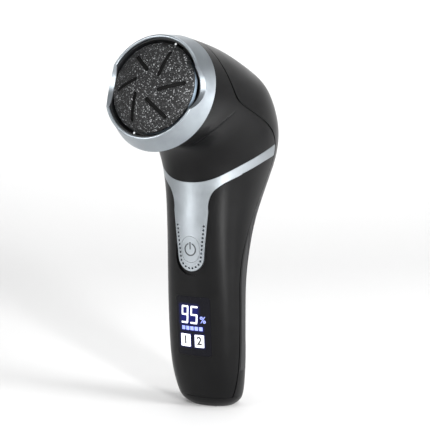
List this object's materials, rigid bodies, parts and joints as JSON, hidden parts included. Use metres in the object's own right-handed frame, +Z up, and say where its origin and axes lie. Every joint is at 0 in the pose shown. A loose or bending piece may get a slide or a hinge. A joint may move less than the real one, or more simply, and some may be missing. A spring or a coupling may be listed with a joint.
{
  "type": "electric callus remover",
  "caption": "Hand-held electric foot file with an angled head, a domed spinning abrasive disc in a metal ring, a display and a flat base.",
  "frame": {"origin": "on the base plane, under the axis of the handle", "axes": "+Z up along the handle, display and disc face -Y, +X to the right seen from the front"},
  "size_m": [0.0512, 0.0895, 0.1638],
  "materials": {
    "body_plastic": "satin",
    "silver_trim": "satin",
    "silver_ring": "satin",
    "window_gloss": "gloss",
    "soft_grip": "matte",
    "seal_rubber": "matte",
    "abrasive_grit": "matte",
    "disc_plastic": "satin",
    "inner_plastic": "matte",
    "light_lens": "gloss",
    "steel": "satin",
    "brass": "satin",
    "magnet": "matte",
    "circuit_board": "satin",
    "battery_wrap": "satin"
  },
  "bodies": {
    "housing": {"head_housing": "body_plastic", "rear_cover": "body_plastic", "rear_grip": "soft_grip", "trim_band": "silver_trim", "handle_shell": "body_plastic", "base_cap": "body_plastic", "display_window": "window_gloss", "display_module": "inner_plastic", "main_board": "circuit_board", "button_seal": "seal_rubber", "power_switch": "inner_plastic", "battery_cell": "battery_wrap", "battery_cradle": "inner_plastic", "battery_contacts": "steel", "charge_board": "circuit_board", "charging_socket": "steel", "housing_screws": "steel", "base_screws": "steel", "head_ring": "silver_ring", "ring_seal": "seal_rubber", "dust_cup": "inner_plastic", "light_pins": "light_lens", "light_board": "circuit_board", "cup_screws": "steel", "motor_cradle": "inner_plastic", "motor_can": "steel", "front_bush": "brass", "motor_magnets": "magnet", "motor_end_cap": "inner_plastic", "motor_terminals": "brass", "shaft_seal": "seal_rubber"},
    "spindle": {"motor_rotor": "steel", "motor_shaft": "steel", "drive_hub": "steel"},
    "grinding_disc": {"abrasive_sheet": "abrasive_grit", "backing_pad": "seal_rubber", "disc_plate": "disc_plastic"},
    "button": {"power_button": "silver_trim"},
    "flap": {"port_flap": "seal_rubber"}
  },
  "joints": [
    {"name": "disc_spin", "type": "hinge", "parent": "housing", "child": "spindle", "pos_m": [0, -0.046, 0.1425], "axis": [0, -0.9455, 0.3256], "continuous": true},
    {"name": "disc_pull_off", "type": "slide", "parent": "spindle", "child": "grinding_disc", "axis": [0, -0.9455, 0.3256], "range_m": [0, 0.012]},
    {"name": "power_press", "type": "slide", "parent": "housing", "child": "button", "axis": [0, 1, 0], "range_m": [0, 0.0005], "stiffness_N_per_m": 900},
    {"name": "flap_swing", "type": "hinge", "parent": "housing", "child": "flap", "pos_m": [0, 0.01186, 0.0058], "axis": [-1, 0, 0], "range_deg": [0, 105]}
  ]
}
